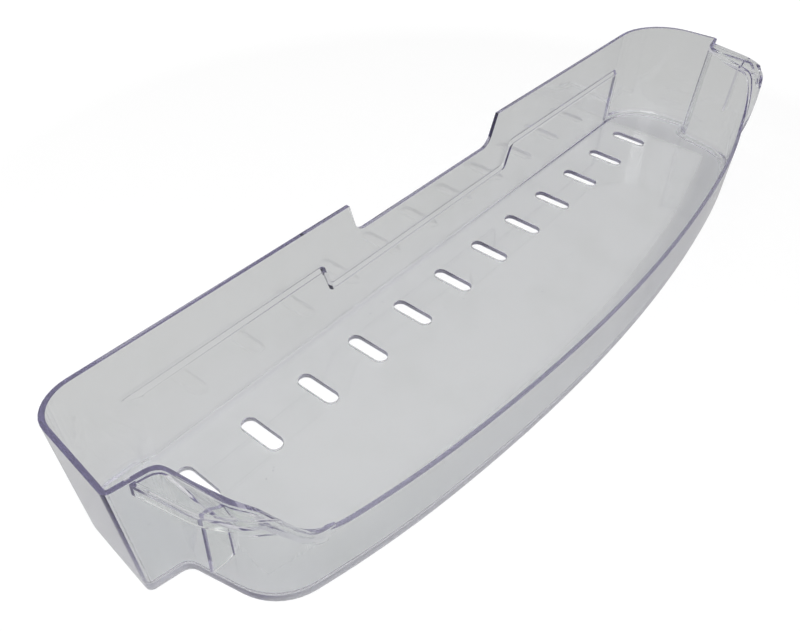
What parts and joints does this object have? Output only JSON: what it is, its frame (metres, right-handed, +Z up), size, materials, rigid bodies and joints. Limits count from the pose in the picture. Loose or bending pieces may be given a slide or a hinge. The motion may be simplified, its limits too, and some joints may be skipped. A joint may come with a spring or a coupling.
{
  "type": "refrigerator door shelf",
  "caption": "Long clear plastic door tray with a high notched back wall, a low bowed front wall, a row of drain slots and a hooded boss pocket at each end.",
  "frame": {"origin": "Half way between the two ends along X, half way from the back wall to the middle of the front wall along Y, and in the plane of the floor's underside along Z.", "axes": "+X along the length of the shelf, to the right as seen from the room; -Y out of the door towards the bowed front wall; +Z up."},
  "size_m": [0.4856, 0.118, 0.0645],
  "materials": {
    "clear_plastic": "clear polished moulded plastic with a faint violet tint at its edges"
  },
  "bodies": {
    "root": {"door_shelf": "clear_plastic"}
  },
  "joints": []
}
